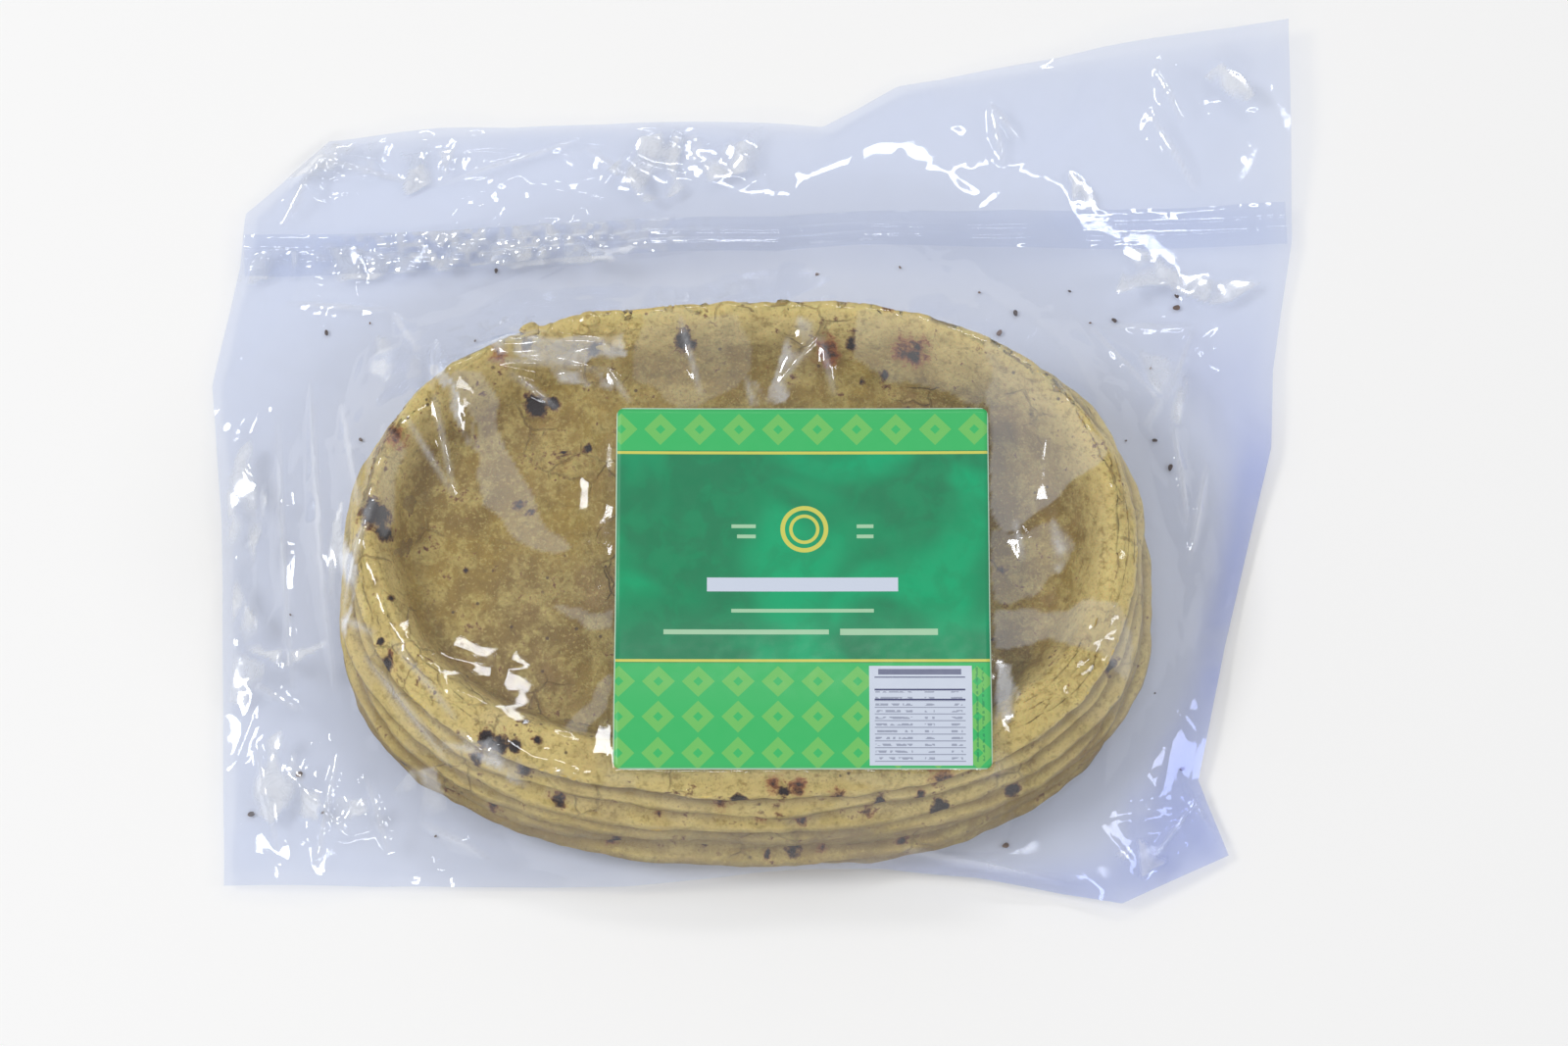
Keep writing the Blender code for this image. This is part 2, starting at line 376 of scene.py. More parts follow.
def dishPoints(flat, share, index):
    # the flat grid drawn out into a dish with a raised rim and an edge that turns down
    angle = np.arctan2(flat[:, 1] * 0.72, flat[:, 0])
    seed = 11 * index
    # each oval is a little uneven, and the lower ones reach out further
    wobble = edgeWobble(angle, index)
    floorShare, crestShare = stack["floorShare"], stack["crestShare"]
    crestDrop = index * (stack["crestPitch"] - stack["pitch"])
    lipDrop = index * (stack["lipPitch"] - stack["pitch"])

    floorX, floorY = ovalPoint(stack["floorOval"], angle, np.minimum(share / floorShare, 1.0) * wobble)
    crestX, crestY = ovalPoint(stack["crestOval"], angle, wobble)
    lipX, lipY = ovalPoint(lipOval(index), angle, wobble)
    climb = np.clip((share - floorShare) / (crestShare - floorShare), 0, 1)
    fall = np.clip((share - crestShare) / (1.0 - crestShare), 0, 1)
    x = floorX + (crestX - floorX) * climb
    y = floorY + (crestY - floorY) * climb
    x = x + (lipX - x) * fall
    y = y + (lipY - y) * fall

    broadWave, smallWave = stack["floorWaves"]
    crestWave = stack["crestWave"] * lumps(np.cos(angle), np.sin(angle), 0.5, seed + 3)
    floorWave = broadWave * lumps(x, y, 34 * mm, seed + 4) + smallWave * lumps(x, y, 15 * mm, seed + 5)
    lipWave = stack["lipWave"] * lumps(np.cos(angle), np.sin(angle), 0.3, seed + 6)
    floorZ = stack["topFloor"] + floorWave * (1 - climb)
    crestZ = stack["topCrest"] + crestWave - crestDrop
    lipZ = stack["topLip"] + lipWave - lipDrop
    z = floorZ + (crestZ - floorZ) * smoothStep(climb ** 1.25)
    z = np.where(fall > 0, crestZ - (crestZ - lipZ) * fall ** 1.7, z)
    # pinches and folds round the rim and up its slopes
    rim = smoothStep(climb * 1.4) * (1 - 0.4 * fall)
    around = angle * 10.0
    pinch = lumps(around, share * 26, 1.0, seed + 7) \
        + 0.5 * lumps(around * 2.2, share * 60, 1.0, seed + 8)
    crease = np.abs(lumps(around * 0.7, share * 30, 1.0, seed + 9))
    z = z + (stack["pinch"] * pinch - stack["crease"] * np.exp(-(crease / 0.14) ** 2)) * rim
    z = np.maximum(z - index * stack["pitch"], stack["lowest"])
    return np.stack([x, y, z], axis=1)


def giveThickness(piece, share):
    # a blunt edge: the wall thins to nothing over the last few millimetres
    body = piece.vertex_groups.new(name="body")
    blunt = stack["blunt"]
    weights = np.sqrt(np.clip(1.0 - ((share - (1 - blunt)) / blunt).clip(0, 1) ** 2, 0.02, 1.0))
    for level in np.unique(np.round(weights, 2)):
        chosen = np.nonzero(np.round(weights, 2) == level)[0]
        body.add(chosen.tolist(), float(level), "REPLACE")
    wall = piece.modifiers.new("wall", "SOLIDIFY")
    wall.thickness = stack["thickness"]
    wall.offset = 0.0
    wall.vertex_group = "body"
    wall.thickness_vertex_group = 0.05
    applyModifiers(piece)
    piece.vertex_groups.clear()


def roughen(piece, index):
    # the dough's relief: soft lumps and small pits, and cracks and grit on the top one
    seed = 11 * index
    points = pointsOf(piece)
    normals = normalsOf(piece)
    px, py, pz = points.T
    relief = stack["lumps"] * lumps(px, py, 6.5 * mm, seed + 20, pz)
    relief += stack["smallLumps"] * lumps(px, py, 2.9 * mm, seed + 21, pz)
    relief += stack["pits"] * np.minimum(lumps(px, py, 4.2 * mm, seed + 22, pz), 0.0)
    if index == 0:
        crack = np.abs(lumps(px * 0.7 + 0.01, py * 1.2, 8.5 * mm, seed + 24, pz))
        relief -= stack["cracks"] * np.exp(-(crack / 0.035) ** 2)
        relief += stack["grit"] * lumps(px, py, 1.7 * mm, seed + 23, pz)
    points += normals * relief[:, None]
    points[:, 2] = np.maximum(points[:, 2], 0.25 * mm)
    setPoints(piece, points)
    return points, normals


def paintTortilla(piece, index, points, normals):
    # where it is toasted, where painted shade darkens its underside and the band just beyond the edge of
    # the one above, where a painted highlight lies along its edge, and how far up the rim
    px, py, pz = points.T
    dark = np.zeros(len(px))
    halo = np.zeros(len(px))
    spots = scatteredSpots(index) if index else toasted
    for sx, sy, radius, depth, orange in spots:
        distance = np.hypot(px - sx * mm, py - sy * mm) / (radius * mm)
        dark = np.maximum(dark, depth * np.clip(1.25 - distance * 0.9, 0, 1))
        halo = np.maximum(halo, orange * np.clip(1.3 - distance * 0.6, 0, 1))
    # painted shade: darker where the surface faces down, and in a narrow band just beyond the edge of the
    # tortilla above
    tuckedShade = smoothStep((0.35 - normals[:, 2]) / 0.6)
    if index > 0:
        away = outsideLip(px, py, index - 1)
        away = np.maximum(away - 0.2 * mm, 0) / mm
        tuckedShade = np.maximum(tuckedShade, 0.8 * np.exp(-away ** 2))
    paint(piece, "tuckedShade", tuckedShade * (pz > 3 * mm))
    # painted highlight: a paler band along the edge
    paint(piece, "lipHighlight", smoothStep((outsideLip(px, py, index) + 2.6 * mm) / (1.8 * mm)))
    paint(piece, "toast", dark)
    paint(piece, "halo", halo)
    above = pz + index * stack["pitch"] - stack["topFloor"]
    paint(piece, "rise", np.clip(above / (13 * mm), 0, 1))


def addTortilla(index):
    cells = stack["plainCells"] if index else stack["fineCells"]
    piece = addGrid("tortilla_%d" % (index + 1), *cells)
    flat = pointsOf(piece)
    share = np.maximum(np.abs(flat[:, 0]), np.abs(flat[:, 1]))
    setPoints(piece, dishPoints(flat, share, index))
    giveThickness(piece, share)
    paintTortilla(piece, index, *roughen(piece, index))
    return piece


def scatteredSpots(index):
    # the lower tortillas are toasted at random along their edges
    chance = np.random.default_rng(40 + index)
    spots = []
    for turn in chance.uniform(0, 2 * math.pi, 14):
        x, y = ovalPoint(lipOval(index), np.array(turn), chance.uniform(0.92, 1.0))
        spots.append((float(x) / mm, float(y) / mm, chance.uniform(1.0, 2.6), chance.uniform(0.6, 1.0),
                      chance.uniform(0.2, 1.0)))
    return spots


masaFinish = {
    "pale": colour(222, 200, 118),
    "ochre": colour(178, 147, 60),
    "olive": colour(140, 110, 36),
    "straw": colour(242, 217, 138),
    "flesh": colour(182, 146, 86),
    "halo": colour(164, 80, 34),
    "scorch": colour(104, 58, 26),
    "toast": colour(28, 13, 12),
    "speck": colour(76, 48, 24),
    # the colour of fine cracks, also used for the painted shade where one tortilla is tucked under the next
    "crack": colour(104, 74, 32),
}


def makeMasa():
    graph = Graph("masa")
    place = graph.objectPlace()
    broad = graph.noise(26.0, 3.0, 0.6, 0.2, place)
    medium = graph.noise(150.0, 5.0, 0.65, 0.2, place)
    small = graph.noise(420.0, 4.0, 0.7, 0.2, place)
    fine = graph.noise(1000.0, 3.0, 0.6, 0.0, place)
    rise = graph.painted("rise")
    # broad tones of the dough, then pale and dark clumps
    fleshy = graph.noise(48.0, 4.0, 0.6, 0.3, place)
    base = graph.blend(broad.ramp(0.36, 0.62), masaFinish["ochre"], masaFinish["olive"])
    base = graph.blend(fleshy.ramp(0.50, 0.66) * 0.5, base, masaFinish["flesh"])
    base = graph.blend(medium.ramp(0.46, 0.62) * 0.5, base, masaFinish["pale"])
    clumps = graph.noise(130.0, 5.0, 0.75, 0.0, place)
    base = graph.blend(clumps.ramp(0.50, 0.64) * 0.35, base, masaFinish["pale"])
    base = graph.blend(clumps.ramp(0.48, 0.34) * 0.4, base, masaFinish["olive"])
    # the rim is paler than the dish, in patches
    paler = rise * 0.9 + small * 0.5 + graph.noise(38.0, 4.0, 0.65, 0.3, place) * 1.2 - 1.0
    base = graph.blend(paler.ramp(0.1, 0.95) * 0.75, base, masaFinish["straw"])
    base = graph.blend(small.ramp(0.50, 0.32) * 0.6, base, masaFinish["olive"])
    base = graph.blend(fine.ramp(0.56, 0.66) * 0.45, base, masaFinish["pale"])
    base = graph.blend(fine.ramp(0.46, 0.34) * 0.25, base, masaFinish["olive"])
    # fine cracks and dark grains, here and there
    cells = graph.node("ShaderNodeTexVoronoi", {"feature": "DISTANCE_TO_EDGE"},
                       {"Vector": graph.warped(place, 90.0, 0.006), "Scale": 95.0})
    crack = cells.ramp(0.045, 0.0) * graph.noise(45.0, 2.0, 0.5, 0.0, place).ramp(0.52, 0.62)
    base = graph.blend(crack * 0.35, base, masaFinish["crack"])
    grains = graph.node("ShaderNodeTexVoronoi", {}, {"Vector": place, "Scale": 240.0})
    scarce = graph.noise(60.0, 1.0, 0.5, 0.0, place).ramp(0.54, 0.62)
    base = graph.blend(grains.ramp(0.16, 0.08) * scarce * 0.8, base, masaFinish["speck"])
    # toasted spots with ragged edges: black, then brown, then an orange halo
    torn = (medium - 0.5) * 1.6 + (small - 0.5) * 2.2
    halo = (graph.painted("halo") + torn * 1.1).ramp(0.28, 0.9)
    base = graph.blend(halo * 0.85, base, masaFinish["halo"])
    toasting = graph.painted("toast") * 1.1 + torn * 0.9
    scorch = toasting.ramp(0.22, 0.55)
    toast = toasting.ramp(0.48, 0.78)
    # painted highlight: straw along each edge
    base = graph.blend(graph.painted("lipHighlight") * 0.3, base, masaFinish["straw"])
    # painted shade in the crack colour, under the edge of the tortilla above and on undersides
    seam = graph.painted("tuckedShade") * (small * 1.2 + 0.1)
    base = graph.blend(seam.atMost(0.55), base, masaFinish["crack"])
    base = graph.blend(scorch * 0.8, base, masaFinish["scorch"])
    base = graph.blend(toast * 0.97, base, masaFinish["toast"])
    relief = clumps * 0.7 + medium * 0.7 + small * 0.4 + fine * 0.1 - crack * 0.4
    shader = graph.principled({
        "Base Color": base,
        "Roughness": medium.ramp(0.35, 0.65, 0.38, 0.60),
        "Specular IOR Level": 0.28,
        "Subsurface Weight": 0.12,
        "Subsurface Scale": 0.002,
        "Normal": graph.bump(relief, 0.8, 0.0013),
    })
    return graph.finish(shader)


print("tortillas")
masa = makeMasa()
tortillas = []
for number in range(stack["layers"]):
    tortilla = addTortilla(number)
    finishPiece(tortilla, masa)
    tortillas.append(tortilla)


# crumbs and torn bits of masa
crumbs = {
    "loose": 30,                   # on the bag's floor round the pile
    "sizes": (0.25 * mm, 0.75 * mm),
    "spanX": (-138 * mm, 132 * mm),
    "spanY": (-112 * mm, 56 * mm),
    "tornSizes": (1.1, 2.0),       # mm
    "torn": ((-0.0600, 0.0262), (-0.0545, 0.0282), (-0.0500, 0.0240), (-0.0440, 0.0288), (-0.0390, 0.0262),
             (-0.0360, 0.0235), (-0.0655, 0.0245), (-0.0320, 0.0272), (-0.0470, 0.0262), (-0.0405, 0.0225)),
}

# the pile's outline from above
pile = {"x": -2.5 * mm, "y": -41.0 * mm, "halfWidth": 113.0 * mm, "halfDepth": 78.0 * mm}


def addBits(name, spots):
    # each bit is a small flattened lump; they're joined into one piece
    made = []
    for x, y, z, size, flat, turn in spots:
        deselectAll()
        bpy.ops.mesh.primitive_ico_sphere_add(subdivisions=2, radius=size, location=(0, 0, 0))
        bit = bpy.context.object
        points = pointsOf(bit)
        points[:, 2] *= flat
        points[:, 0] *= 1.5
        knobs = lumps(points[:, 0] + x, points[:, 1] + y, size * 0.9, 71, points[:, 2])
        points *= 1 + 0.30 * knobs[:, None]
        cos, sin = math.cos(turn), math.sin(turn)
        px = points[:, 0] * cos - points[:, 1] * sin + x
        py = points[:, 0] * sin + points[:, 1] * cos + y
        setPoints(bit, np.stack([px, py, points[:, 2] + z], axis=1))
        made.append(bit)
    deselectAll()
    for bit in made:
        bit.select_set(True)
    bpy.context.view_layer.objects.active = made[0]
    bpy.ops.object.join()
    piece = bpy.context.object
    piece.name = name
    return piece


def looseCrumbSpots():
    chance = np.random.default_rng(12)
    spots = []
    while len(spots) < crumbs["loose"]:
        x, y = chance.uniform(*crumbs["spanX"]), chance.uniform(*crumbs["spanY"])
        aside = abs((x - pile["x"]) / pile["halfWidth"]) ** squareness
        behind = abs((y - pile["y"]) / pile["halfDepth"]) ** squareness
        if aside + behind < 1.0 or (x < 0 and chance.uniform() < 0.6):
            continue
        size = chance.uniform(*crumbs["sizes"])
        spots.append((x, y, 0.2 * mm + size * 0.5, size, 0.6, chance.uniform(0, 3.1)))
    return spots


def tornSpots():
    chance = np.random.default_rng(13)
    tree = treeOf(tortillas[:1])
    spots = []
    for x, y in crumbs["torn"]:
        size = chance.uniform(*crumbs["tornSizes"]) * mm
        z = topAt(tree, x, y, None)
        if z is not None:
            spots.append((x, y, z, size, 0.36, chance.uniform(-0.5, 0.5)))
    return spots


def makeCrumb():
    graph = Graph("dry_crumb")
    tone = graph.noise(160.0, 2.0)
    base = graph.blend(tone.ramp(0.4, 0.6), colour(120, 84, 48), colour(70, 46, 34))
    return graph.finish(graph.principled({"Base Color": base, "Roughness": 0.7}))


print("crumbs")
looseCrumbs = addBits("loose_crumbs", looseCrumbSpots())
finishPiece(looseCrumbs, makeCrumb())
tornBits = addBits("torn_masa_bits", tornSpots())
for layerName, value in (("toast", 0.0), ("halo", 0.0), ("rise", 1.0)):
    paint(tornBits, layerName, np.full(len(tornBits.data.vertices), value))
finishPiece(tornBits, masa)


# the bag's film; first the corners and bends of its outline (mm), each side from its left or
# near end
outline = {
    "near": ((-142.7, -120.1), (-34.8, -120.6), (0.0, -118.0), (35.2, -116.0), (59.7, -118.0),
             (99.2, -125.2), (128.3, -111.8)),
    "right": ((128.3, -111.8), (120.5, -91.1), (128.5, -54.4), (142.5, 1.7), (143.5, 23.6),
              (149.8, 61.6), (150.0, 125.2)),
    "far": ((-119.1, 90.9), (-87.9, 94.3), (-19.2, 96.9), (19.0, 94.9), (40.2, 107.1), (97.9, 117.6),
            (150.0, 125.2)),
    "left": ((-142.7, -120.1), (-146.1, -19.2), (-150.0, 19.9), (-143.1, 54.2), (-142.1, 69.3),
             (-119.1, 90.9)),
}
film = {
    "cells": (338, 284),
    "backCells": (120, 100),
    "seamHeight": 2.2 * mm,
    "frontLift": 8.5 * mm,         # how far the near edge curls up
    "cornerLift": 6.0 * mm,        # and the far right corner
    "gap": 0.25 * mm,
    "floor": 0.9 * mm,             # the film lies this high where nothing is under it
    "backFloor": 0.12 * mm,
    "mostAbove": 1.6 * mm,         # folds stand at most this far above the solid bag
    "sag": 0.0014 * mm,            # pull on each round of the settling below
    "rounds": 2600,
    "creaseRelief": 0.65 * mm,
    # a painted highlight along the ridge of each fold: how strong, and how wide
    "ridgeHighlight": 0.45,            # how white the ridge of a fold is
    "ridgeHighlightWidth": 1.2 * mm,
}

# the film needs to know where the label holds it down
label = {
    "side": 100.0 * mm,
    "corner": 2.2 * mm,
    "cells": 64,
    "low": 34.6 * mm,              # over the dish
    "high": 40.5 * mm,             # on the near rim
    "riseStart": -48.0 * mm,
    "riseEnd": -84.0 * mm,
    "bow": 0.7 * mm,
    "thickness": 0.16 * mm,
}
labelX = (labelLow[0] + labelHigh[0]) / 2
labelY = (labelLow[1] + labelHigh[1]) / 2


def labelHeight(x, y):
    climb = smoothStep((label["riseStart"] - y) / (label["riseStart"] - label["riseEnd"]))
    bow = label["bow"] * ((x - labelX) / label["side"] * 2) ** 2
    return label["low"] + (label["high"] - label["low"]) * climb + bow * (1 - climb)


def alongSide(corners, shares):
    corners = np.array(corners) * mm
    steps = np.hypot(*np.diff(corners, axis=0).T)
    reach = np.concatenate([[0], np.cumsum(steps)])
    reach = reach / reach[-1]
    return np.stack([np.interp(shares, reach, values) for values in corners.T], axis=1)


def spreadInOutline(u, v):
    # fills the four-sided outline with the grid (u to the right, v to the far side)
    near, far = alongSide(outline["near"], u), alongSide(outline["far"], u)
    left, right = alongSide(outline["left"], v), alongSide(outline["right"], v)
    c00, c10 = np.array(outline["near"][0]) * mm, np.array(outline["near"][-1]) * mm
    c01, c11 = np.array(outline["far"][0]) * mm, np.array(outline["far"][-1]) * mm
    u, v = u[:, None], v[:, None]
    sides = near * (1 - v) + far * v + left * (1 - u) + right * u
    flat = c00 * (1 - u) * (1 - v) + c10 * u * (1 - v) + c01 * (1 - u) * v + c11 * u * v
    return sides - flat


def seamHeights(x, y):
    wave = 1.2 * mm * (np.sin(95 * x + 1.0) + np.sin(80 * y - 40 * x))
    front = film["frontLift"] * smoothStep(1 - np.abs(x - 0.010) / 0.045) * smoothStep(-y / 0.1)
    corner = film["cornerLift"] * smoothStep(1 - np.hypot(x - 0.150, y - 0.125) / 0.09)
    return film["seamHeight"] + np.abs(wave) + front + corner


# folds given one by one: start, end, half width and height (all mm)
handFolds = (
    (-122, 20, -112, -72, 3.0, 2.6), (-131, 10, -124, -70, 2.6, 1.8), (-113, 12, -105, -24, 2.4, 2.0),
    (-101, -20, -110, -52, 1.8, 2.2), (-110, -52, -100, -58, 1.8, 1.6), (-94, 2, -80, -20, 2.2, 1.7),
    (-80, -20, -86, 8, 1.8, 1.8), (-86, 8, -88, 26, 1.8, 1.8), (-76, 22, -38, 22, 2.4, 2.2),
    (-72, 17, -40, 15, 1.6, 1.8), (-66, 14, -52, 4, 1.4, 1.4), (-40, 16, -33, 6, 1.8, 1.6),
    (-20, 30, -14, 8, 1.8, 1.4), (-2, 14, 0, 4, 1.2, 1.2), (6, 10, 18, 24, 2.2, 2.0),
    (18, 24, 22, 8, 1.6, 1.4), (-104, -62, -80, -92, 1.6, 2.0), (-96, -60, -78, -82, 1.4, 1.4),
    (-84, -86, -66, -92, 2.2, 1.6), (-78, -84, -68, -94, 1.6, 1.4), (92, 34, 112, 10, 2.0, 1.8),
    (112, 10, 122, 36, 2.0, 1.8), (122, 36, 96, 34, 2.0, 1.4), (114, 6, 118, -24, 1.8, 1.6),
    (124, -4, 118, -34, 1.2, 2.0), (112, 14, 106, 2, 1.6, 1.4), (70, -26, 72, -38, 2.2, 1.6),
    (56, -66, 52, -82, 2.4, 1.4), (126, -108, 116, -92, 1.6, 2.0), (104, -118, 124, -92, 1.6, 1.6),
    (-120, 88, -132, 66, 3.0, 2.4), (-124, 86, -90, 78, 3.2, 2.2), (-90, 78, -48, 92, 2.6, 1.8),
    (-48, 90, -30, 76, 4.0, 2.0), (-8, 92, 2, 80, 3.4, 1.8), (66, 102, 70, 84, 2.0, 2.2),
    (66, 102, 74, 92, 2.0, 2.0), (112, 112, 120, 96, 2.6, 2.2), (110, 100, 124, 76, 1.8, 1.8),
    (-135, -80, -128, -112, 2.0, 1.6), (-128, -88, -108, -108, 2.0, 1.6), (-112, -84, -118, -116, 1.6, 1.8),
    (-104, -92, -98, -112, 1.6, 1.6), (-138, -64, -122, -74, 1.8, 1.4), (-90, -104, -70, -114, 1.8, 1.4),
    (40, -112, 90, -120, 2.0, 1.4), (-130, 44, -100, 40, 2.2, 1.6), (-100, 40, -92, 24, 2.2, 1.8),
)


# folds laid by chance: how many, x and y range (mm), main direction and spread (degrees), then
# the ranges of length, half width and height (mm)
foldGroups = (
    (60, (-146, -100), (-115, 50), 95, 30, (8, 34), (0.9, 2.4), (0.3, 1.1)),
    (44, (-138, -20), (66, 94), 70, 60, (6, 24), (1.0, 2.6), (0.4, 1.3)),
    (34, (0, 146), (66, 118), 80, 50, (8, 26), (1.2, 3.0), (0.3, 1.0)),
    (46, (100, 146), (-110, 50), 85, 45, (8, 30), (1.0, 2.6), (0.3, 1.1)),
    (34, (-120, 110), (-118, -92), 5, 30, (8, 30), (0.9, 2.0), (0.3, 0.9)),
    (34, (-110, 110), (24, 60), 10, 60, (8, 26), (1.0, 2.4), (0.3, 0.9)),
    (30, (-95, -35), (-85, 25), 60, 60, (5, 18), (0.8, 1.8), (0.2, 0.7)),
    (16, (64, 100), (-80, 20), 80, 50, (5, 18), (0.8, 1.8), (0.2, 0.7)),
)


def looseFolds():
    chance = np.random.default_rng(7)
    folds = []
    for count, spanX, spanY, main, spread, length, width, height in foldGroups:
        for _ in range(count):
            x, y = chance.uniform(*spanX), chance.uniform(*spanY)
            turn = math.radians(main + chance.normal(0, spread))
            reach = chance.uniform(*length) / 2
            dx, dy = reach * math.cos(turn), reach * math.sin(turn)
            folds.append((x - dx, y - dy, x + dx, y + dy, chance.uniform(*width), chance.uniform(*height)))
    return folds


def besideFold(x, y, fold):
    # how far each place lies aside of the fold's ridge, and 1 at the ridge's middle to 0 at its ends
    start = np.array(fold[0:2]) * mm
    way = np.array(fold[2:4]) * mm - start
    length = float(np.hypot(*way))
    way = way / length
    along = ((x - start[0]) * way[0] + (y - start[1]) * way[1]) / length
    aside = np.abs((x - start[0]) * way[1] - (y - start[1]) * way[0])
    return aside, np.clip(1 - np.abs(along - 0.5) * 2, 0, 1)


def foldRelief(x, y, folds):
    # a fold is a sharp ridge with two flat faces that dies away at its ends
    total = np.zeros_like(x)
    for fold in folds:
        width, height = fold[4] * 1.5 * mm, fold[5] * mm
        aside, middling = besideFold(x, y, fold)
        taper = middling ** 0.6
        total = total + height * np.clip(1 - aside / width / np.maximum(taper, 0.05), 0, 1) * taper
    return total


def ridgeHighlights(x, y, folds):
    # a painted highlight along the ridge of each fold, strongest at its middle
    total = np.zeros(len(x))
    for fold in folds:
        aside, middling = besideFold(x, y, fold)
        line = np.clip(1 - aside / film["ridgeHighlightWidth"], 0, 1) * middling ** 0.5
        total = np.maximum(total, film["ridgeHighlight"] * line)
    return total


def facets(x, y, seed, size, stretchX=1.0, stretchY=1.0):
    # scattered points at random heights, joined by flat triangles: crumpled film, from about -1 to 1
    chance = np.random.default_rng(seed)
    px, py = x / (size * stretchX), y / (size * stretchY)
    columns = np.arange(math.floor(px.min()) - 2, math.ceil(px.max()) + 3)
    rows = np.arange(math.floor(py.min()) - 2, math.ceil(py.max()) + 3)
    sites = np.array([(c + 0.5 * (r % 2), r) for r in rows for c in columns], float)
    sites = sites + chance.uniform(-0.42, 0.42, sites.shape)
    heights = chance.uniform(-1, 1, len(sites))
    corners, _, faces = delaunay_2d_cdt([Vector(site) for site in sites], [], [], 0, 1e-6)[:3]
    tree = BVHTree.FromPolygons([(c.x, c.y, h) for c, h in zip(corners, heights)], faces)
    total = np.zeros(len(x))
    for index in range(len(x)):
        hit = tree.ray_cast(Vector((px[index], py[index], 5.0)), Vector((0, 0, -1)))[0]
        total[index] = hit.z if hit is not None else 0.0
    return total


# where the film is crumpled: middle, half sizes (mm) and how strongly
crumpled = (
    (-128, -20, 22, 60, 0.9), (-112, -100, 48, 24, 1.0), (-95, 80, 50, 16, 1.0), (-35, 84, 34, 14, 1.0),
    (-68, 62, 48, 8, 0.9), (-80, 18, 34, 18, 0.8), (6, 16, 28, 14, 0.7), (108, 26, 18, 22, 1.0),
    (118, -20, 10, 34, 0.8), (122, 96, 24, 26, 0.6), (70, 94, 18, 14, 0.6), (118, -106, 18, 16, 1.0),
    (-86, -76, 22, 16, 0.9), (72, -32, 14, 12, 0.7), (54, -74, 10, 12, 0.7), (-128, 50, 22, 16, 0.8),
)


def crumple(x, y):
    total = np.full_like(x, 0.16)
    for cx, cy, halfX, halfY, strength in crumpled:
        away = ((x / mm - cx) / halfX) ** 2 + ((y / mm - cy) / halfY) ** 2
        total = np.maximum(total, strength * np.exp(-(away ** 2) * 0.5))
    return total


# where the film is crinkled, with a whitish veil that is a painted highlight, and below where it is only
# misted: how strongly, then its corners (mm)
crinkledAndHighlighted = (
    (0.80, ((-40, 83), (-32, 92), (-18, 94), (-11, 89), (3, 94), (1, 83), (-13, 79), (-31, 73))),
    (0.65, ((-130, 89), (-101, 90), (-108, 81), (-130, 80))),
    (0.70, ((-99, 87), (-83, 89), (-86, 79), (-96, 77))),
    (0.75, ((-142, 58), (-112, 60), (-73, 57), (-64, 53), (-107, 51), (-142, 50))),
    (0.60, ((-98, 64), (-52, 61), (-39, 52), (-82, 53))),
    (0.56, ((-86, 26), (-81, 11), (-74, -7), (-78, -5), (-84, 10))),
    (0.52, ((-70, 22), (-35, 24), (-33, 19), (-45, 17), (-67, 17))),
    (0.56, ((-54, 16), (-40, 14), (-38, 10), (-52, 13))),
    (0.49, ((3, 6), (7, 17), (12, 30), (18, 26), (16, 18), (9, 6))),
    (0.42, ((-2, 11), (1, 12), (3, 6), (0, 5))),
    (0.88, ((-145, -20), (-139, -42), (-132, -57), (-113, -59), (-129, -61), (-141, -52))),
    (0.75, ((-111, -21), (-106, -42), (-108, -56), (-113, -45))),
    (0.56, ((-78, -85), (-68, -87), (-57, -93), (-51, -94), (-59, -97), (-70, -92))),
    (0.52, ((64, -65), (68, -67), (70, -73), (68, -81), (65, -84))),
    (0.49, ((80, -27), (85, -33), (81, -41), (79, -38))),
    (0.65, ((104, 63), (118, 52), (140, 49), (126, 43), (109, 49), (100, 46))),
    (0.88, ((132, 113), (139, 104), (134, 102), (128, 109))),
    (0.80, ((89, 82), (95, 77), (99, 71), (90, 74))),
    (0.75, ((-145, -6), (-139, 4), (-133, -14), (-137, -34), (-143, -28))),
    (0.75, ((-136, -84), (-128, -78), (-122, -92), (-130, -104), (-137, -98))),
    (0.39, ((-96, -96), (-86, -92), (-82, -102), (-92, -108))),
    (0.75, ((-130, -88), (-115, -96), (-100, -98), (-112, -104), (-127, -100))),
    (0.50, ((-142, -54), (-133, -62), (-136, -75), (-142, -69))),
    (0.50, ((107, 29), (120, 20), (116, 7), (108, 15))),
    (0.56, ((97, -113), (103, -108), (111, -113), (104, -118))),
    (0.50, ((-103, 33), (-94, 28), (-100, 15), (-107, 20))),
)
misted = (
    (0.90, ((63, 24), (69, 21), (84, 9), (94, -9), (78, -23), (68, -30), (64, -21), (63, 4))),
    (0.80, ((63, -52), (95, -50), (101, -57), (100, -69), (83, -60), (63, -62))),
    (0.60, ((63, -31), (81, -28), (85, -36), (73, -49), (63, -48))),
    (0.70, ((-82, 11), (-72, 14), (-66, -5), (-51, -34), (-58, -33), (-72, -23), (-74, -2))),
    (0.60, ((-52, -49), (-36, -52), (-36, -57), (-49, -54))),
    (0.60, ((-48, -82), (-39, -71), (-36, -72), (-43, -86))),
    (0.50, ((-105, -11), (-99, 0), (-94, -11), (-98, -33), (-104, -27))),
    (0.50, ((28, 30), (61, 26), (71, 18), (61, 6), (40, 11), (28, 18))),
    (0.40, ((-30, 30), (-3, 30), (0, 15), (-16, 6), (-31, 11))),
)


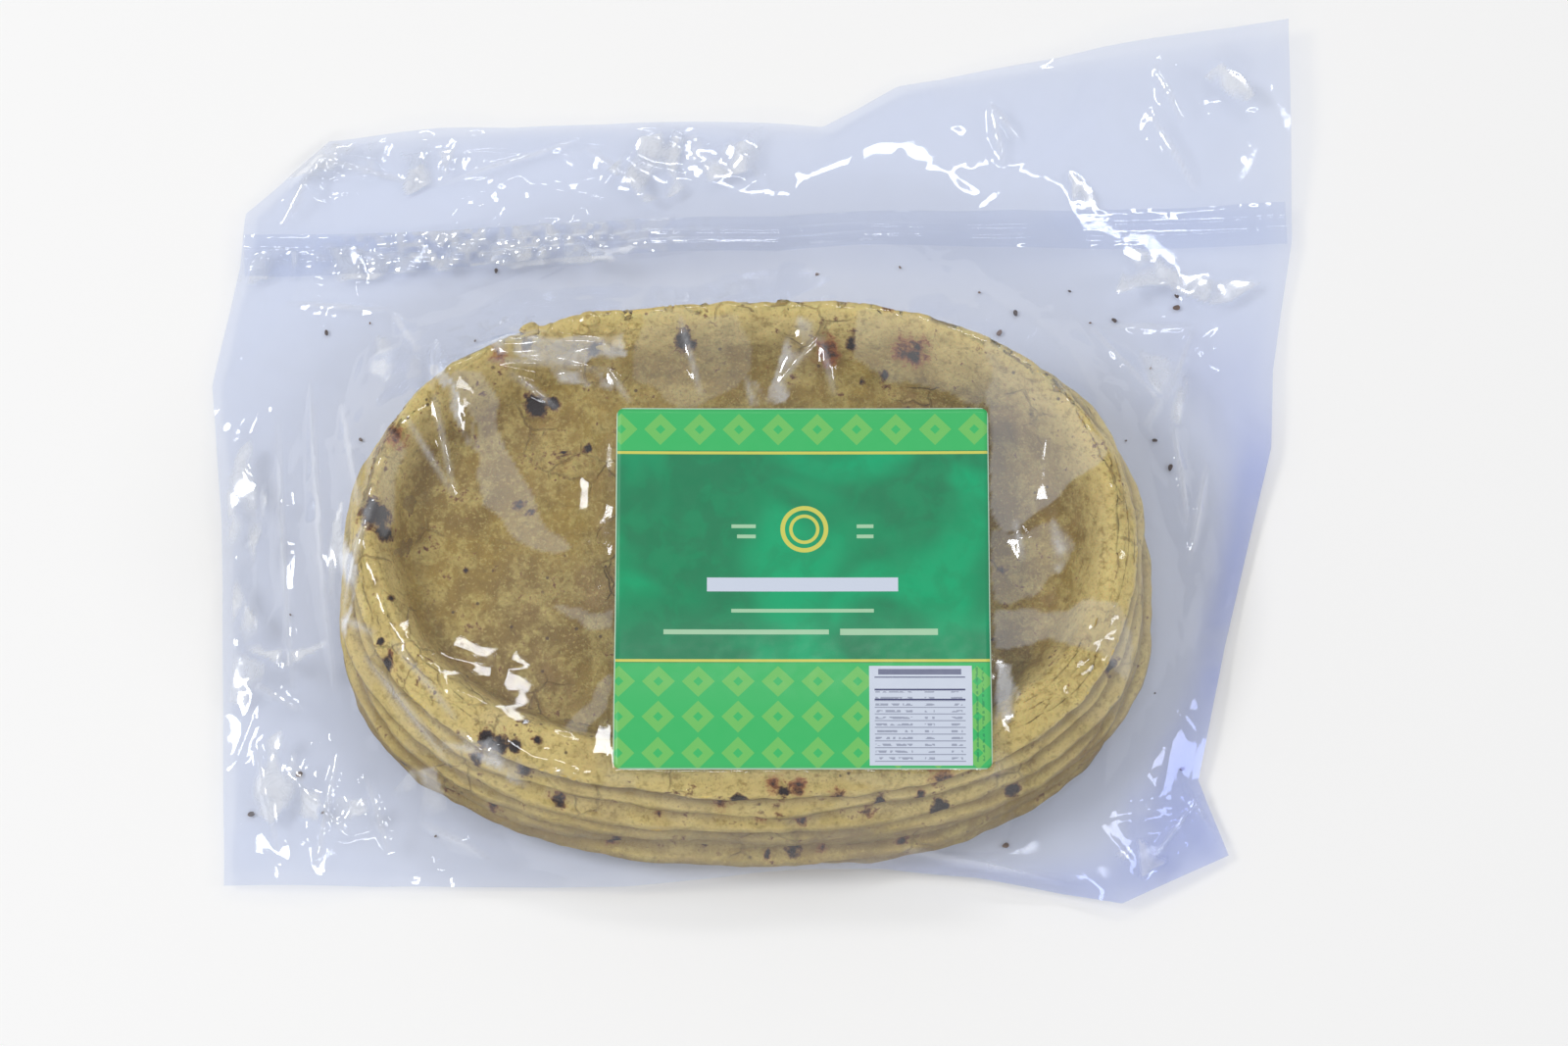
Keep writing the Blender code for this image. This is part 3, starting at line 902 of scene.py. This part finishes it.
def insideShape(x, y, corners):
    # 1 inside these corners, falling to 0 over half a millimetre outside them
    corners = np.array(corners, float) * mm
    odd = np.zeros(len(x), bool)
    near = np.full(len(x), 1.0)
    for (x0, y0), (x1, y1) in zip(corners, np.roll(corners, -1, axis=0)):
        crosses = (y0 > y) != (y1 > y)
        at = x0 + (x1 - x0) * (y - y0) / (y1 - y0 if y1 != y0 else 1e-9)
        odd ^= crosses & (x < at)
        length = max((x1 - x0) ** 2 + (y1 - y0) ** 2, 1e-12)
        share = np.clip(((x - x0) * (x1 - x0) + (y - y0) * (y1 - y0)) / length, 0, 1)
        near = np.minimum(near, np.hypot(x - x0 - share * (x1 - x0), y - y0 - share * (y1 - y0)))
    return np.where(odd, 1.0, smoothStep(1.0 - near / (0.5 * mm)))


def shapeStrength(x, y, shapes, wander):
    x = x + wander * lumps(x, y, 7 * mm, 91)
    y = y + wander * lumps(x, y, 6 * mm, 92)
    total = np.zeros(len(x))
    for strength, corners in shapes:
        total = np.maximum(total, strength * insideShape(x, y, corners))
    return total


def settledFilm(u, v, x, y, underLabel):
    # the heights of a sheet stretched over the pile, of what it lies on, and where the pile is
    tree = treeOf(tortillas[:4] + [tornBits])
    ground = np.full(len(x), film["floor"])
    beside, behind = np.abs(x - pile["x"]) - pile["halfWidth"], np.abs(y - pile["y"]) - pile["halfDepth"]
    near = np.maximum(beside, behind) < 2 * mm
    for index in np.nonzero(near)[0]:
        ground[index] = topAt(tree, x[index], y[index], film["floor"])
    columns, rows = film["cells"][0] + 1, film["cells"][1] + 1
    order = np.lexsort((u, v)).reshape(rows, columns)
    floor = (ground + film["gap"])[order]
    seam = (seamHeights(x, y) + 0.3 * mm)[order]
    height = np.maximum(floor, 3 * mm)
    # it settles: each point goes to the mean of its neighbours, less a little sag, and never
    # below what it lies on
    pinned = np.zeros_like(height, bool)
    pinned[0, :] = pinned[-1, :] = pinned[:, 0] = pinned[:, -1] = True
    stuck = underLabel[order]
    stuckHeight = (labelHeight(x, y) - 0.2 * mm)[order]
    for _ in range(film["rounds"]):
        mean = (np.roll(height, 1, 0) + np.roll(height, -1, 0) + np.roll(height, 1, 1)
                + np.roll(height, -1, 1)) / 4
        height = np.maximum(mean - film["sag"], floor)
        height[pinned] = seam[pinned]
        height[stuck] = stuckHeight[stuck]
    settled = np.empty(len(x))
    settled[order.ravel()] = height.ravel()
    under = np.empty(len(x))
    under[order.ravel()] = floor.ravel()
    return settled, under, near


def addFilmFront():
    sheet = addGrid("bag_film_front", *film["cells"])
    flat = pointsOf(sheet)
    u, v = (flat[:, 0] + 1) / 2, (flat[:, 1] + 1) / 2
    x, y = spreadInOutline(u, v).T
    # the label holds the film under it smooth
    reach = np.maximum(np.abs(x - labelX), np.abs(y - labelY)) - label["side"] / 2 - 0.4 * mm
    settled, under, near = settledFilm(u, v, x, y, reach < 0)
    free = smoothStep(reach / (4.5 * mm))
    edge = np.minimum(np.minimum(u, 1 - u), np.minimum(v, 1 - v))
    calm = smoothStep(edge / 0.02)
    margin = smoothStep((8 * mm - (settled - 4 * mm)) / (10 * mm))
    rough = crumple(x, y)
    relief = foldRelief(x, y, handFolds) * 1.2
    relief = relief + foldRelief(x, y, looseFolds()) * (0.3 + 0.7 * rough)
    relief = relief + facets(x, y, 3, 24 * mm, 0.8, 1.3) * 1.5 * mm * (0.4 + 0.6 * margin)
    relief = relief + facets(x, y, 4, 11 * mm, 0.7, 1.4) * 1.5 * mm * rough
    relief = relief + facets(x, y, 6, 5.2 * mm, 1.3, 0.8) * 0.55 * mm * rough ** 1.5
    crinkleAndHighlight = shapeStrength(x, y, crinkledAndHighlighted, 1.6 * mm) * (reach > 0)
    # beside the label the film is drawn tight, with faint ripples in place of facets
    tight = smoothStep(1 - reach / (16 * mm)) * (reach > 0)
    relief = relief * (1 - 0.6 * tight) + 0.35 * mm * lumps(x, y, 5.5 * mm, 77) * tight
    creases = facets(x, y, 8, 4.4 * mm, 0.7, 1.5)
    relief = relief + creases * film["creaseRelief"] * crinkleAndHighlight
    crinkleAndHighlight = crinkleAndHighlight * np.clip(0.6 + 1.3 * creases, 0.05, 1)
    # painted highlight along the ridges of the listed folds
    crinkleAndHighlight = np.maximum(crinkleAndHighlight, ridgeHighlights(x, y, handFolds) * (reach > 0))
    settled = settled + relief * free * (0.25 + 0.75 * calm)
    settled = np.where(reach > 0, np.maximum(settled, under), settled)
    settled = np.minimum(settled, bagTop + film["mostAbove"])
    setPoints(sheet, np.stack([x, y, settled], axis=1))
    touch = smoothStep(1.3 - (settled - under) / (0.7 * mm)) * near
    paint(sheet, "touch", touch)
    paint(sheet, "margin", smoothStep((14 * mm - settled) / (9 * mm)))
    paint(sheet, "mist", shapeStrength(x, y, misted, 2.0 * mm) * (reach > 0))
    paint(sheet, "crinkleAndHighlight", crinkleAndHighlight)
    return sheet


def addFilmBack():
    piece = addGrid("bag_film_back", *film["backCells"])
    flat = pointsOf(piece)
    u, v = (flat[:, 0] + 1) / 2, (flat[:, 1] + 1) / 2
    x, y = spreadInOutline(u, v).T
    edge = np.minimum(np.minimum(u, 1 - u), np.minimum(v, 1 - v))
    z = film["backFloor"] + seamHeights(x, y) * (1 - smoothStep(edge / 0.11)) ** 1.3
    setPoints(piece, np.stack([x, y, z], axis=1))
    bpy.ops.object.mode_set(mode="EDIT")
    bpy.ops.mesh.select_all(action="SELECT")
    bpy.ops.mesh.flip_normals()
    bpy.ops.object.mode_set(mode="OBJECT")
    for layer in ("touch", "mist", "crinkleAndHighlight", "margin"):
        paint(piece, layer, np.zeros(len(x)))
    return piece


filmFinish = {
    "tint": (0.932, 0.951, 1.0, 1.0),
    "haze": colour(246, 249, 255),
    # painted shade: a darker blue haze for the near right part
    "nearRightShade": colour(140, 158, 236),           # the haze of the near right part
    # how much the film veils what it covers: everywhere, off the tortillas, misted, and crinkled, where the
    # whitish veil is a painted highlight
    "clear": 0.004,
    "cloudy": 0.13,
    "mist": 0.16,
    "crinkleAndHighlight": 0.52,
    "mostVeil": 0.9,
    "bend": 1.5,
    "crinkleShine": 5.0,
    "roughness": 0.06,
    "crinkleRoughness": 0.12,
}


def makeFilm(name, shine):
    graph = Graph(name)
    place = graph.objectPlace()
    cloud = graph.noise(26.0, 2.0, 0.5, 0.8, place).ramp(0.3, 0.7, 0.4, 1.0)
    apart = 1.0 - graph.painted("touch")
    crinkleAndHighlight = graph.painted("crinkleAndHighlight")
    margin = graph.painted("margin")
    # film is thin, so it mirrors alike from both sides
    behind = graph.node("ShaderNodeNewGeometry", {}, {}, "Backfacing")
    bend = behind * (1.0 / filmFinish["bend"] - filmFinish["bend"]) + filmFinish["bend"]
    shininess = (crinkleAndHighlight * filmFinish["crinkleShine"] + 1.0) * shine
    mirror = graph.node("ShaderNodeFresnel", {}, {"IOR": bend}) * shininess
    see = graph.node("ShaderNodeBsdfTransparent", {}, {"Color": filmFinish["tint"]})
    # painted shade: the film is made bluer and darker towards the near right
    across, upward = graph.apart(place)
    rightward = ((across + 0.02) * 9.0).atMost(1.0).atLeast(0.0)
    nearward = ((upward * -1.0 + 0.05) * 18.0).atMost(1.0).atLeast(0.0)
    nearRightShade = rightward * nearward
    veil = apart * cloud * filmFinish["cloudy"] * (margin * (nearRightShade * 1.7 + 0.45) + 0.25)
    veil = veil + graph.painted("mist") * filmFinish["mist"] + filmFinish["clear"]
    wrinkles = graph.noise(260.0, 3.0, 0.6, 1.0, place).ramp(0.36, 0.62, 0.7, 1.0)
    # painted highlight: a whitish veil over the crinkled patches and along fold ridges
    veil = veil + crinkleAndHighlight * wrinkles * filmFinish["crinkleAndHighlight"]
    factor = (veil + mirror).atMost(filmFinish["mostVeil"])
    # how much of the painted shade's blue shows
    nearRightShadeShare = nearRightShade * margin * (1.0 - crinkleAndHighlight)
    coat = graph.principled({
        "Base Color": graph.blend(nearRightShadeShare, filmFinish["haze"], filmFinish["nearRightShade"]),
        "Metallic": mirror / (veil + mirror),
        "Roughness": crinkleAndHighlight * filmFinish["crinkleRoughness"] + filmFinish["roughness"],
        "Normal": graph.bump(graph.noise(900.0, 2.0, 0.5, 0.0, place), 0.04, 0.0002),
    })
    made = graph.node("ShaderNodeMixShader", {}, {0: factor, 1: see, 2: coat})
    return graph.finish(made)


print("film")
filmFrontMaterial = makeFilm("clear_film", 1.25)
filmBackMaterial = makeFilm("clear_film_back", 1.0)
filmFront = addFilmFront()
finishPiece(filmFront, filmFrontMaterial, "bag")
filmBack = addFilmBack()
finishPiece(filmBack, filmBackMaterial)


# the zip strip
zipStrip = {
    "start": (-142.0, 57.4),       # mm, middle of its left and right ends
    "end": (148.2, 66.4),
    "width": 12.0 * mm,
    "cells": (520, 26),
    "ribs": (-2.1 * mm, 1.2 * mm),
    "ribWidth": 0.8 * mm,
    "ribHeight": 0.75 * mm,
    "crimp": 0.55 * mm,
    "crinkledAt": -70.0 * mm,      # it is most crinkled here, and this far to each side
    "crinkledReach": 60.0 * mm,
    "crinkleAndHighlight": 0.55,
}


def addZipStrip():
    piece = addGrid("zip_strip_clear", *zipStrip["cells"])
    flat = pointsOf(piece)
    start, end = np.array(zipStrip["start"]) * mm, np.array(zipStrip["end"]) * mm
    way = (end - start) / np.hypot(*(end - start))
    share = (flat[:, 0] + 1) / 2
    aside = flat[:, 1] * zipStrip["width"] / 2
    middle = start + (end - start) * share[:, None]
    x = middle[:, 0] - way[1] * aside
    y = middle[:, 1] + way[0] * aside
    tree = treeOf([filmFront])
    missing = film["seamHeight"] + 1 * mm
    base = np.array([topAt(tree, px, py, missing) for px, py in zip(x, y)])
    rib = sum(np.clip(1 - np.abs(aside - middle) / zipStrip["ribWidth"], 0, 1)
              for middle in zipStrip["ribs"])
    crimp = facets(x, y, 21, 2.6 * mm, 0.8, 2.2) * zipStrip["crimp"]
    where = smoothStep(1.15 - np.abs(x - zipStrip["crinkledAt"]) / zipStrip["crinkledReach"])
    edge = smoothStep((zipStrip["width"] / 2 - np.abs(aside)) / (1.2 * mm))
    raised = rib * zipStrip["ribHeight"] + crimp * (0.35 + 0.9 * where) + 0.25 * mm
    z = np.maximum(base + 0.12 * mm + edge * raised, base + 0.1 * mm)
    setPoints(piece, np.stack([x, y, z], axis=1))
    for layer in ("touch", "mist", "margin"):
        paint(piece, layer, np.zeros(len(x)))
    # crinkled crimps, whose whitish veil is a painted highlight
    crinkleAndHighlight = zipStrip["crinkleAndHighlight"] * where * smoothStep(lumps(x, y, 1.9 * mm, 23) * 0.9 + 0.45)
    paint(piece, "crinkleAndHighlight", crinkleAndHighlight)
    return piece


print("zip strip")
zipMaterial = makeFilm("clear_zip", 2.2)
finishPiece(addZipStrip(), zipMaterial, "zip_strip")


# the printed label
labelFinish = {
    "bandGreen": colour(62, 184, 104),
    "diamond": colour(112, 192, 100),
    "deep": colour(36, 128, 88),
    "middle": colour(30, 146, 98),
    "bright": colour(22, 166, 112),
    "yellow": colour(205, 205, 96),
    "white": colour(204, 212, 228),
    "pale": colour(176, 214, 178),
    "ink": colour(66, 70, 110),
    "edge": colour(196, 226, 204),
    "lowBand": 0.293,              # top of the lower band; this and all below are shares of the side
    "highBand": 0.882,             # bottom of the upper band
    "pitch": 0.1055,               # from one diamond to the next
    "diamondReach": 0.0437,
    "dotReach": 0.0133,
    "ring": (0.505, 0.665),
    "title": (0.245, 0.755, 0.494, 0.532),    # left, right, bottom and top of each bar
    "bars": ((0.31, 0.69, 0.436, 0.446), (0.13, 0.57, 0.374, 0.388), (0.60, 0.86, 0.372, 0.390),
             (0.31, 0.375, 0.668, 0.678), (0.325, 0.375, 0.640, 0.650),
             (0.645, 0.690, 0.668, 0.678), (0.645, 0.690, 0.640, 0.650)),
    "panel": (0.676, 0.948, 0.010, 0.284),
    "columns": ((0.692, 0.790, 0.022, 0.212), (0.822, 0.848, 0.022, 0.212), (0.892, 0.922, 0.022, 0.212)),
    "rows": (0.690, 0.930, 0.020, 0.185),
    "heading": (0.700, 0.920, 0.259, 0.275),
    "rules": ((0.690, 0.930, 0.186, 0.191), (0.690, 0.930, 0.214, 0.219), (0.690, 0.930, 0.250, 0.253)),
    "rowPitch": 0.0182,
}


def addLabel():
    piece = addGrid("label_print", label["cells"], label["cells"])
    flat = pointsOf(piece)
    half, corner = label["side"] / 2, label["corner"]
    x, y = flat[:, 0] * half, flat[:, 1] * half
    outX = np.maximum(np.abs(x) - half + corner, 0)
    outY = np.maximum(np.abs(y) - half + corner, 0)
    far = np.hypot(outX, outY)
    pull = np.where(far > corner, corner / np.maximum(far, 1e-9), 1.0)
    x = np.where(far > corner, np.sign(x) * (half - corner + outX * pull), x) + labelX
    y = np.where(far > corner, np.sign(y) * (half - corner + outY * pull), y) + labelY
    ripple = 0.10 * mm * lumps(x, y, 26 * mm, 61)
    setPoints(piece, np.stack([x, y, labelHeight(x, y) + ripple], axis=1))
    wall = piece.modifiers.new("wall", "SOLIDIFY")
    wall.thickness = label["thickness"]
    wall.offset = 1.0
    applyModifiers(piece)
    return piece


def inside(across, upward, left, right, bottom, top):
    return (across > left) * (across < right) * (upward > bottom) * (upward < top)


def bandsAndField(graph, place, across, upward):
    # two bands of plain diamonds with a dot
    low, high, pitch = labelFinish["lowBand"], labelFinish["highBand"], labelFinish["pitch"]
    cellX = ((across + 0.040).fold(pitch) - pitch / 2).size()
    cellLow = ((upward - (low - 0.004)).fold(pitch * 0.93) - pitch * 0.465).size()
    cellHigh = ((upward - high).fold(1.0) - (1.0 - high) / 2).size()
    inUpper = upward > high
    cellY = cellLow * (1.0 - inUpper) + cellHigh * inUpper
    tile = (cellX + cellY) < labelFinish["diamondReach"]
    dot = (cellX + cellY) < labelFinish["dotReach"]
    band = graph.blend(tile * (1.0 - dot), labelFinish["bandGreen"], labelFinish["diamond"])

    # the middle field: soft tones of green
    broadCloud = graph.noise(30.0, 2.0, 0.5, 0.7, place).ramp(0.40, 0.64)
    smallCloud = graph.noise(120.0, 4.0, 0.6, 0.4, place).ramp(0.42, 0.64)
    field = graph.blend(broadCloud, labelFinish["deep"], labelFinish["bright"])
    field = graph.blend(smallCloud * 0.55, field, labelFinish["middle"])
    face = graph.blend((upward > low) * (upward < high), band, field)
    # thin yellow lines between them
    for bottom in (low + 0.002, high - 0.010):
        line = (upward > bottom) * (upward < bottom + 0.008)
        face = graph.blend(line, face, labelFinish["yellow"])
    return face


def ringAndBars(graph, face, across, upward):
    # a plain ring, and plain bars for the words
    ringX, ringY = across - labelFinish["ring"][0], upward - labelFinish["ring"][1]
    reach = (ringX * ringX + ringY * ringY) ** 0.5
    ring = ((reach - 0.058).size() < 0.006).atLeast((reach - 0.036).size() < 0.0045)
    face = graph.blend(ring, face, labelFinish["yellow"])
    title = inside(across, upward, *labelFinish["title"])
    face = graph.blend(title, face, labelFinish["white"])
    for bar in labelFinish["bars"]:
        face = graph.blend(inside(across, upward, *bar) * 0.85, face, labelFinish["pale"])
    return face


def ruledPanel(graph, place, face, across, upward):
    # a white panel ruled like a table, with broken dashes in its columns
    panel = inside(across, upward, *labelFinish["panel"])
    face = graph.blend(panel, face, labelFinish["white"])
    rowPitch = labelFinish["rowPitch"]
    rows = ((upward - 0.020).fold(rowPitch) < 0.0028) * inside(across, upward, *labelFinish["rows"])
    broken = graph.noise(900.0, 0.0, 0.5, 0.0, place).ramp(0.4, 0.5)
    left, middle, right = (inside(across, upward, *column) for column in labelFinish["columns"])
    columns = left.atLeast(middle).atLeast(right)
    dashes = ((upward - 0.026).fold(rowPitch) < 0.0062) * broken * columns
    heavy = inside(across, upward, *labelFinish["heading"]) * 0.8
    for rule in labelFinish["rules"]:
        heavy = heavy.atLeast(inside(across, upward, *rule))
    face = graph.blend(panel * (rows * 0.55 + dashes * 0.5).atMost(0.7), face, labelFinish["ink"])
    face = graph.blend(heavy, face, labelFinish["ink"])
    # two fine broken lines up the right edge
    lines = ((across - 0.958).fold(0.016) < 0.006) * inside(across, upward, 0.958, 0.988, 0.02, 0.28)
    lines = lines * graph.noise(1200.0, 0.0, 0.5, 0.0, place).ramp(0.4, 0.55) * 0.6
    return graph.blend(lines, face, labelFinish["deep"])


def makeLabelPrint():
    graph = Graph("label_print")
    place = graph.objectPlace()
    across, upward = graph.apart(place)
    across = (across - labelX) / label["side"] + 0.5
    upward = (upward - labelY) / label["side"] + 0.5
    face = bandsAndField(graph, place, across, upward)
    face = ringAndBars(graph, face, across, upward)
    face = ruledPanel(graph, place, face, across, upward)
    rim = 1.0 - inside(across, upward, 0.003, 0.997, 0.003, 0.997)
    face = graph.blend(rim, face, labelFinish["edge"])
    shader = graph.principled({
        "Base Color": face,
        "Roughness": graph.noise(300.0, 2.0, 0.5, 0.0, place).ramp(0.3, 0.7, 0.34, 0.44),
        "Specular IOR Level": 0.4,
        "Normal": graph.bump(graph.noise(700.0, 2.0, 0.5, 0.0, place), 0.08, 0.0001),
    })
    return graph.finish(shader)


print("label")
finishPiece(addLabel(), makeLabelPrint(), "label")


# floor, camera and lamps
studio = {
    "floor": colour(246, 246, 246),
    "elevation": 76.0,
    "distance": 1.30,
    "target": (0.00826, -0.01861, 0.0),
    "lens": 108.4,
    "air": 0.48,
    # each lamp: degrees round from the near side (90 the right) and up, distance, width and
    # height in metres, watts
    "lamps": {
        "key": (262, 50, 2.4, 0.72, 0.60, 21),
        "side_strip": (80, 40, 2.0, 0.24, 0.90, 5.5),
        "near_strip": (350, 40, 1.4, 0.55, 0.10, 2.2),
        "far_strip": (170, 52, 1.4, 0.55, 0.10, 2.2),
    },
}


def addFloor():
    deselectAll()
    bpy.ops.mesh.primitive_plane_add(size=6.0, location=(0, 0, -0.0004))
    floor = bpy.context.object
    floor.name = "floor"
    graph = Graph("floor_paper")
    shader = graph.principled({"Base Color": studio["floor"], "Roughness": 0.95, "Specular IOR Level": 0.1})
    floor.data.materials.append(graph.finish(shader))


def addLamp(name, azimuth, elevation, distance, sizeX, sizeY, power):
    turn, lift = math.radians(azimuth), math.radians(elevation)
    aim = Vector((0.0, -0.02, 0.02))
    away = Vector((math.sin(turn) * math.cos(lift), -math.cos(turn) * math.cos(lift), math.sin(lift)))
    data = bpy.data.lights.new(name, "AREA")
    data.shape = "RECTANGLE"
    data.size = sizeX
    data.size_y = sizeY
    data.energy = power
    lamp = bpy.data.objects.new(name, data)
    bpy.context.scene.collection.objects.link(lamp)
    lamp.location = aim + away * distance
    lamp.rotation_euler = away.to_track_quat("Z", "Y").to_euler()


def addCamera():
    lift = math.radians(studio["elevation"])
    target = Vector(studio["target"])
    back = Vector((0.0, -math.cos(lift), math.sin(lift)))
    data = bpy.data.cameras.new("camera")
    data.lens = studio["lens"]
    data.sensor_width = 36.0
    data.clip_start = 0.01
    camera = bpy.data.objects.new("camera", data)
    bpy.context.scene.collection.objects.link(camera)
    camera.location = target + back * studio["distance"]
    camera.rotation_euler = back.to_track_quat("Z", "Y").to_euler()
    bpy.context.scene.camera = camera


print("studio")
addFloor()
addCamera()
for name, values in studio["lamps"].items():
    addLamp(name, *values)
world = bpy.data.worlds.new("studio_air")
world.use_nodes = True
background = world.node_tree.nodes["Background"]
background.inputs["Color"].default_value = (1.0, 1.0, 1.0, 1.0)
background.inputs["Strength"].default_value = studio["air"]
scene = bpy.context.scene
scene.world = world
scene.view_settings.view_transform = "Standard"
scene.view_settings.look = "None"
scene.cycles.transparent_max_bounces = 24
